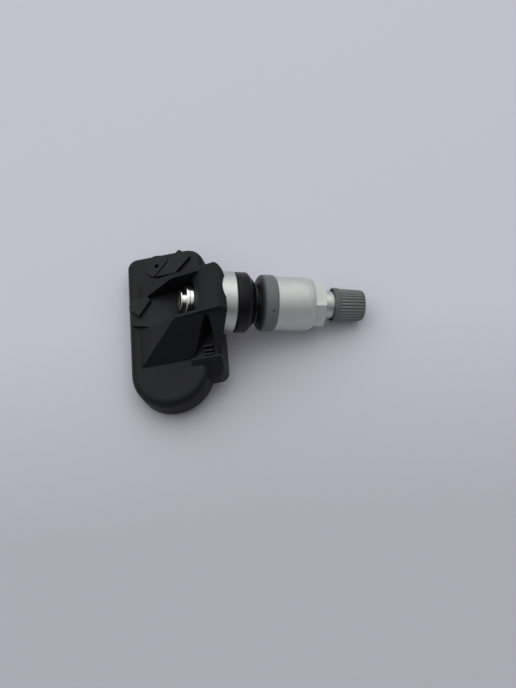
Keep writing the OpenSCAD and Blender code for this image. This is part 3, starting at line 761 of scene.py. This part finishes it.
class SENSOR_OT_seals(bpy.types.Operator):
    """Dress the grommet, the nut's washer and the cap's disc"""

    bl_idname = "sensor.seals"
    bl_label = "Seals and washer"

    def execute(self, context):
        rubber = smooth_rubber("grommet rubber", colours().rubber)
        dress("rim_grommet", "moulded_grommet", "valve", "grommet_rubber", rubber,
              sizes().rubber_edge, segments=3)
        grey = washer_plastic("washer grey", colours().washer_grey)
        washer = dress("nut_washer", "grey_washer", "nut_ring", "washer_grey", grey,
                       sizes().rubber_edge, segments=3)
        # Turned about the valve so that its dimple faces up and to the front
        dimple_turn = -61
        turn = Matrix.Rotation(math.radians(dimple_turn), 4, "Z")
        washer.data.transform(ON_VALVE @ turn @ ON_VALVE.inverted())
        finish_node("cap_seal", smooth_rubber("seal rubber", (0.03, 0.03, 0.032)))
        return {"FINISHED"}


def cap_core(depth):
    """The dust cap's body under its ribs: skirt, tapered core, rounded end and bore."""
    size = sizes()
    skirt = CAP_START + size.skirt_height
    foot_r = CAP_R - RIB_INSET - depth
    end_r = size.cap_end_radius - depth
    bore_r, mouth_r = 3.95 * MM, 4.4 * MM
    mouth, thread_start = CAP_START + 1.1 * MM, CAP_START + 1.3 * MM
    lip_round, skirt_round, end_round, step = 0.18 * MM, 0.25 * MM, 0.75 * MM, 0.08 * MM
    end, dished_end, roof = CAP_END - 0.1 * MM, CAP_END - 0.2 * MM, CAP_END - 0.75 * MM
    outline = [(mouth_r, CAP_START)]
    outline += arc(CAP_R - lip_round, CAP_START + lip_round, lip_round, -90, 0, 4)
    outline += arc(CAP_R - skirt_round, skirt - skirt_round, skirt_round, 0, 90, 4)
    outline += [(foot_r + step, skirt), (foot_r, skirt + step)]
    outline += arc(end_r - end_round, end - end_round, end_round, 0, 90, 8)
    outline += [(1.2 * MM, end), (0.9 * MM, dished_end), (0.0, dished_end)]
    outline += [(0.0, roof), (bore_r, roof), (bore_r, thread_start), (mouth_r, mouth)]
    return lathe("cap_core", outline)


def cap_rib():
    """One grip rib: a rounded ridge that follows the cap's taper and dies into its end."""
    size = sizes()
    foot = CAP_START + size.skirt_height - 0.05 * MM
    end_r = size.cap_end_radius
    end_round = 0.95 * MM
    spine = [(CAP_R - RIB_INSET, foot)]
    spine += arc(end_r - end_round, CAP_END - end_round, end_round, 0, 78, 8)
    # The rib's rows lean towards this point inside the cap's end
    centre_r, centre_h = end_r - end_round - 0.6 * MM, CAP_END - end_round - 1.2 * MM
    narrowing, flatness, sink = 0.55, 0.7, 1.25
    across = 6
    work = bmesh.new()
    rows = []
    for k, (r, h) in enumerate(spine):
        fade = 1.0 if k < 2 else 1.0 - narrowing * (k - 1) / (len(spine) - 2)
        inward = Vector((centre_r - r, 0, centre_h - h)).normalized() if k else Vector((-1, 0, 0))
        row = []
        for j in range(across + 1):
            turn = math.pi * j / across
            side = -math.cos(turn) * size.rib_width / 2 * fade
            rise = (math.sin(turn) ** flatness - 1) * size.rib_height * sink
            row.append(work.verts.new(Vector((r, side, h)) - inward * rise))
        rows.append(row)
    for one, two in zip(rows, rows[1:]):
        for j in range(across):
            work.faces.new((one[j], one[j + 1], two[j + 1], two[j]))
        work.faces.new((one[across], one[0], two[0], two[across]))
    work.faces.new(rows[0])
    work.faces.new(list(reversed(rows[-1])))
    bmesh.ops.recalc_face_normals(work, faces=work.faces)
    mesh = bpy.data.meshes.new("cap_ribs")
    work.to_mesh(mesh)
    work.free()
    return mesh


class SENSOR_OT_cap(bpy.types.Operator):
    """Build the ribbed dust cap"""

    bl_idname = "sensor.cap"
    bl_label = "Dust cap"

    def execute(self, context):
        grey = moulded_plastic("cap grey", colours().cap_grey,
                               rough=(0.36, 0.5), grain=7000.0, depth=0.006)
        core = new_object("cap_core", cap_core(sizes().rib_height))
        place_on_valve(core.data)
        shade(core)
        set_material(core, grey)
        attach(core, "cap")
        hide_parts("dust_cap")
        ribs = new_object("cap_ribs", cap_rib())
        run_tree(ribs, rib_tree(), {"Ribs": sizes().rib_count, "Material": grey})
        place_on_valve(ribs.data)
        shade(ribs, angle=50)
        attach(ribs, "cap")
        return {"FINISHED"}


# Studio

# The camera's angles in degrees, its place in metres, its lens in the photograph's pixels
# and its sensor in millimetres
CAMERA_AZIMUTH = -3.26
CAMERA_ELEVATION = 64.58
CAMERA_ROLL = -1.71
CAMERA_DISTANCE = 292.95 * MM
CAMERA_TARGET = Vector((0.744 * MM, -12.823 * MM, 0.0))
LENS_PIXELS = 1075.0
PHOTO_WIDTH = 516.0
CAMERA_SENSOR_WIDTH = 36.0


def photo_camera():
    """The photograph's camera: a long lens, from above and a little from the front."""
    data = bpy.data.cameras.new("photo_camera")
    data.sensor_fit = "HORIZONTAL"
    data.sensor_width = CAMERA_SENSOR_WIDTH
    data.lens = CAMERA_SENSOR_WIDTH * LENS_PIXELS / PHOTO_WIDTH
    data.clip_start = 0.01
    data.clip_end = 10.0
    camera = bpy.data.objects.new("photo_camera", data)
    bpy.context.scene.collection.objects.link(camera)
    az, el = math.radians(CAMERA_AZIMUTH), math.radians(CAMERA_ELEVATION)
    back = Vector((math.sin(az) * math.cos(el), -math.cos(az) * math.cos(el), math.sin(el)))
    level = Vector((math.cos(az), math.sin(az), 0))
    upright = back.cross(level)
    roll = math.radians(CAMERA_ROLL)
    right = level * math.cos(roll) + upright * math.sin(roll)
    up = upright * math.cos(roll) - level * math.sin(roll)
    turn = Matrix((right, up, back)).transposed().to_4x4()
    camera.matrix_world = Matrix.Translation(CAMERA_TARGET + back * CAMERA_DISTANCE) @ turn
    bpy.context.scene.camera = camera


def soft_light(name, place, aim, size, power, colour):
    """A rectangular area light at one place that faces another."""
    data = bpy.data.lights.new(name, "AREA")
    data.shape = "RECTANGLE"
    data.size, data.size_y = size
    data.energy = power
    data.color = colour
    light = bpy.data.objects.new(name, data)
    bpy.context.scene.collection.objects.link(light)
    away = Vector(place) - Vector(aim)
    turn = away.to_track_quat("Z", "Y").to_matrix().to_4x4()
    light.matrix_world = Matrix.Translation(place) @ turn


def studio_world():
    """A soft sky: bright overhead and behind the part, dark in front, pale along the horizon."""
    world = bpy.data.worlds.new("studio")
    world.use_nodes = True
    tree = world.node_tree
    tree.nodes.clear()
    brightest = Vector((-0.12, 0.5, 0.86)).normalized()
    direction = tree.nodes.new("ShaderNodeTexCoord").outputs["Generated"]
    facing = tree.nodes.new("ShaderNodeVectorMath")
    facing.operation = "DOT_PRODUCT"
    facing.inputs[1].default_value = brightest
    tree.links.new(direction, facing.inputs[0])
    overhead = map_range(tree, facing.outputs["Value"], (-0.15, 0.95), (0.07, 0.91), smooth=True)
    height = along_axis(tree, direction, "Z")
    horizon = map_range(tree, height, (0.14, 0.32), (0.4, 0.0), smooth=True)
    sky = tree.nodes.new("ShaderNodeBackground")
    sky.inputs["Color"].default_value = (0.94, 0.955, 1.0, 1)
    tree.links.new(math_node(tree, "MAXIMUM", overhead, horizon), sky.inputs["Strength"])
    output = tree.nodes.new("ShaderNodeOutputWorld")
    tree.links.new(sky.outputs[0], output.inputs["Surface"])
    bpy.context.scene.world = world


class SENSOR_OT_stage(bpy.types.Operator):
    """Lay the pale floor and set up the lights and the camera"""

    bl_idname = "sensor.stage"
    bl_label = "Stage"

    def execute(self, context):
        # The floor lies just under the part, so that no faces coincide
        gap, reach = 0.02 * MM, 4.0
        ground = CAD_BOX[0][2] - gap
        corners = ((-reach, -reach), (reach, -reach), (reach, reach), (-reach, reach))
        mesh = bpy.data.meshes.new("floor")
        mesh.from_pydata([(x, y, ground) for x, y in corners], [], [(0, 1, 2, 3)])
        floor = new_object("floor", mesh)
        material, tree, shader = new_material("pale floor")
        # Painted shade: the floor is a little darker in front of the part than behind it
        away = map_range(tree, along_axis(tree, object_coordinates(tree), "Y"), (-60 * MM, 0.0))
        colour = colours().floor
        tint = ramp(tree, away, [(0.0, tinted(colour, 0.81)), (1.0, tinted(colour, 1.03))])
        tree.links.new(tint, shader.inputs["Base Color"])
        shader.inputs["Roughness"].default_value = 0.7
        shader.inputs["Specular IOR Level"].default_value = 0.2
        set_material(floor, material)
        studio_world()
        soft_light("back_window", place=(-0.12, 0.42, 0.78), aim=(0.0, 0.03, 0.0),
                   size=(1.3, 0.95), power=2.9, colour=(1.0, 0.99, 0.98))
        photo_camera()
        context.scene.view_settings.view_transform = "Standard"
        return {"FINISHED"}


class SENSOR_PT_panel(bpy.types.Panel):
    """Lists the sensor's sizes, colours and build steps"""

    bl_idname = "SENSOR_PT_panel"
    bl_label = "Tyre Pressure Sensor"
    bl_space_type = "VIEW_3D"
    bl_region_type = "UI"
    bl_category = "Sensor"

    def draw(self, context):
        column = self.layout.column()
        for group in (context.scene.sensor_sizes, context.scene.sensor_colours):
            for name in group.__annotations__:
                column.prop(group, name)
        for operator in OPERATORS:
            column.operator(operator.bl_idname)


OPERATORS = (
    SENSOR_OT_stage, SENSOR_OT_case, SENSOR_OT_electronics, SENSOR_OT_valve, SENSOR_OT_core,
    SENSOR_OT_seals, SENSOR_OT_cap,
)
CLASSES = (SensorSizes, SensorColours, *OPERATORS, SENSOR_PT_panel)


def register():
    """Registers the classes and gives the scene its sizes and colours."""
    for item in CLASSES:
        bpy.utils.register_class(item)
    bpy.types.Scene.sensor_sizes = PointerProperty(type=SensorSizes)
    bpy.types.Scene.sensor_colours = PointerProperty(type=SensorColours)


def unregister():
    """Takes back what register gave."""
    del bpy.types.Scene.sensor_colours
    del bpy.types.Scene.sensor_sizes
    for item in reversed(CLASSES):
        bpy.utils.unregister_class(item)


def main():
    """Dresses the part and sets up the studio."""
    register()
    bpy.ops.sensor.stage()
    bpy.ops.sensor.case()
    bpy.ops.sensor.electronics()
    bpy.ops.sensor.valve()
    bpy.ops.sensor.core()
    bpy.ops.sensor.seals()
    bpy.ops.sensor.cap()


if __name__ == "__main__":
    main()
